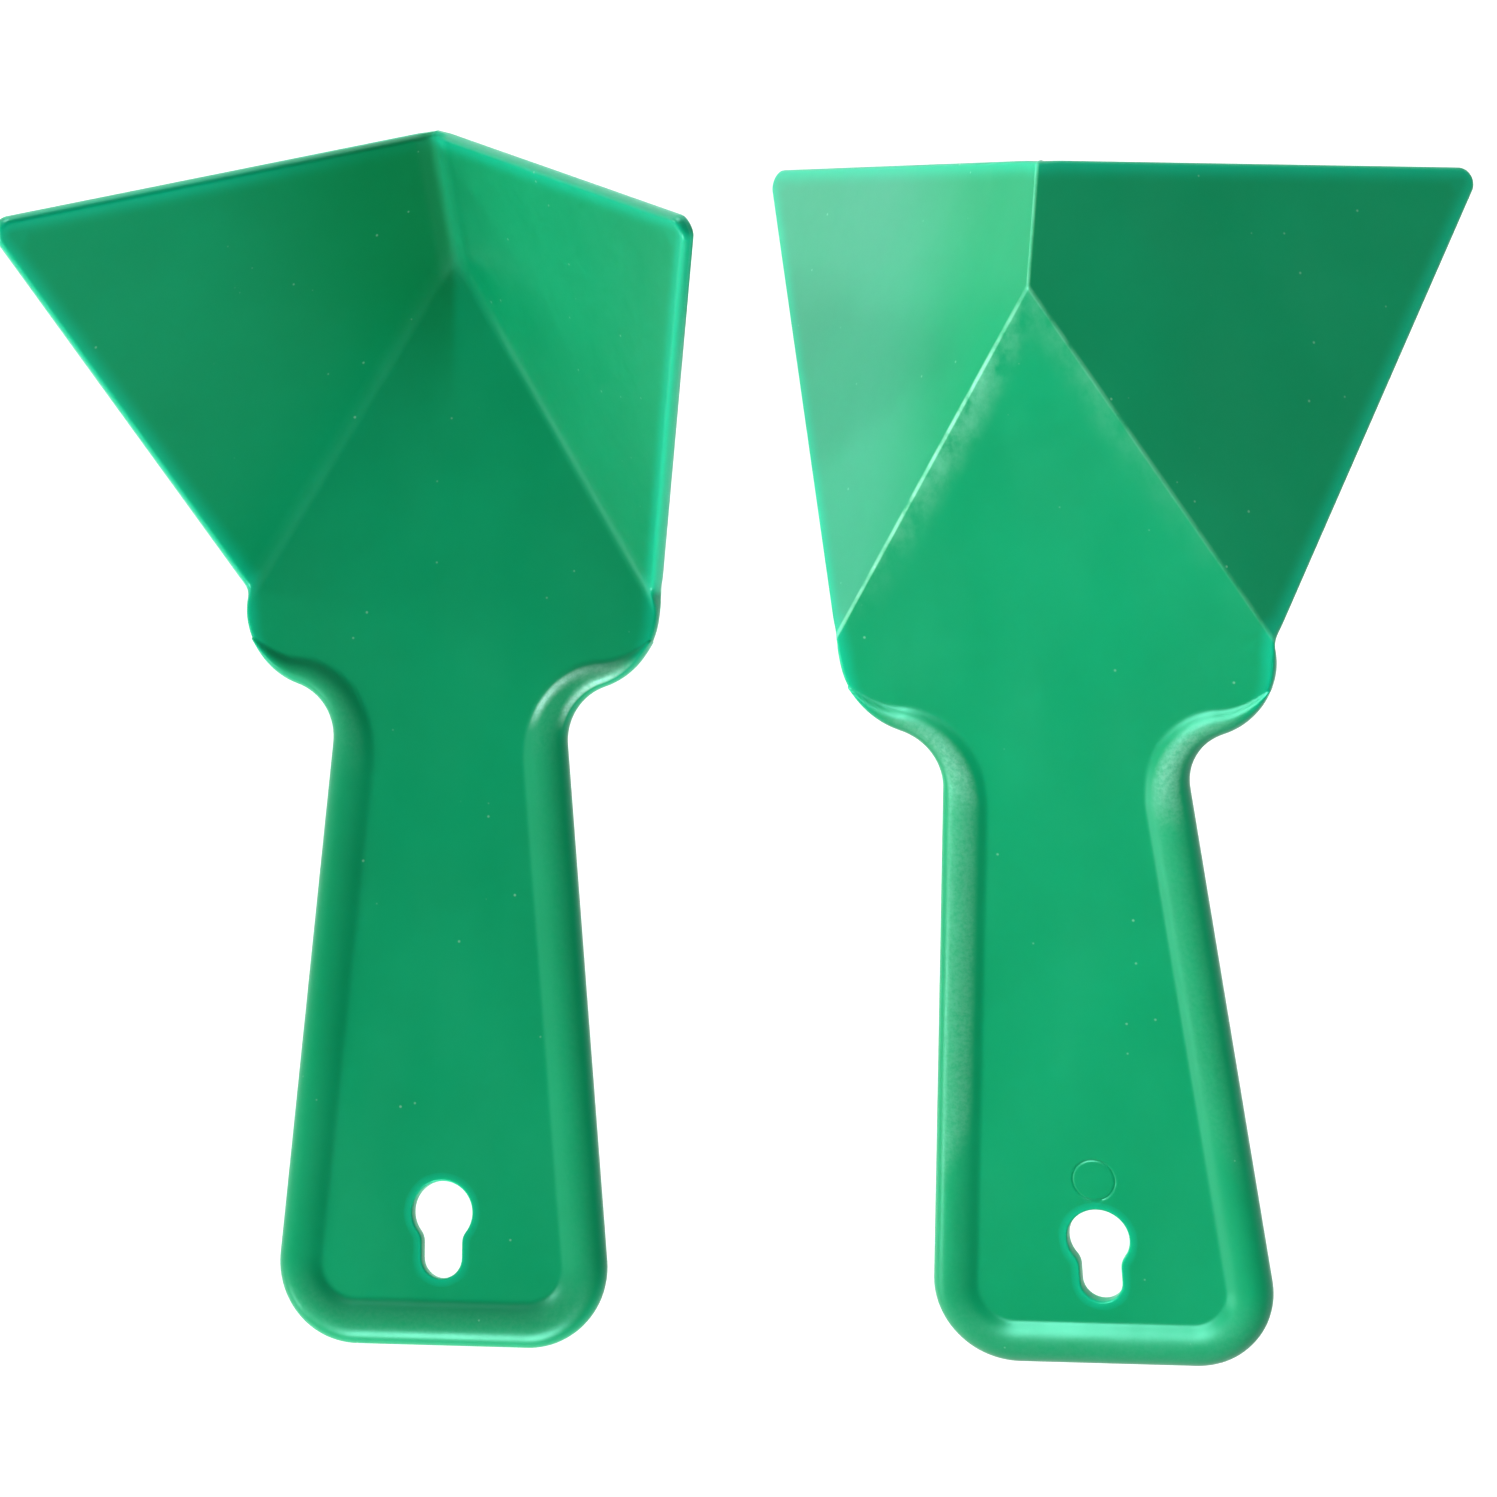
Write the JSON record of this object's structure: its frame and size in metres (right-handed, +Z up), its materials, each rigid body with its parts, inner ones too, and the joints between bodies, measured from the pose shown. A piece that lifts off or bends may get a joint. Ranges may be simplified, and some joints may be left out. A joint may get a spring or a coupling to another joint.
{
  "type": "corner scoop pair",
  "caption": "Moulded corner scoops: a flat rimmed handle with a keyhole hang hole, ending in flat wings folded into a V-shaped pocket with straight scraping edges.",
  "frame": {"origin": "on the floor, below the middle of the pair's bounding box", "axes": "+X from the pocket-up scoop to the pocket-down scoop, +Y along the handles towards the heads, +Z up from the floor"},
  "size_m": [0.23, 0.201, 0.0673],
  "materials": {
    "green_plastic": "satin moulded polypropylene, slightly translucent at the edges"
  },
  "bodies": {
    "pocket_down": {"scoop_pocket_down": "green_plastic"},
    "pocket_up": {"scoop_pocket_up": "green_plastic"}
  },
  "joints": [
    {"name": "pocket_up_lift", "type": "slide", "parent": "pocket_down", "child": "pocket_up", "axis": [0, 0, 1], "range_m": [0, 0.15]}
  ]
}
